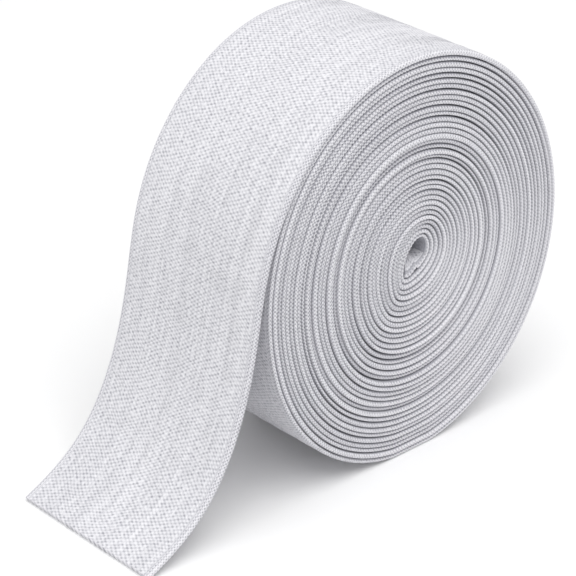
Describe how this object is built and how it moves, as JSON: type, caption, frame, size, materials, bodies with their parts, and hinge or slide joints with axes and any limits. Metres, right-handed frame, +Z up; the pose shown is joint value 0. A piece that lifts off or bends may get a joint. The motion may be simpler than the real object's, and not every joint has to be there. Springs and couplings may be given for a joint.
{
  "type": "roll of elastic",
  "caption": "Coreless roll of flat woven elastic, wound on edge-on-edge turns, with its loose end peeling off and resting on the surface.",
  "frame": {"origin": "middle of the small flat spot that the roll rests on, half way along the band's width", "axes": "+Z up, +Y along the roll's axis from the face that shows to the far face, -X towards the loose end"},
  "size_m": [0.146, 0.0502, 0.1152],
  "materials": {
    "woven_elastic": "matt white woven elastic with a fine dotted face and smooth selvages"
  },
  "bodies": {
    "root": {"wound_roll": "woven_elastic", "loose_end": "woven_elastic"}
  },
  "joints": []
}
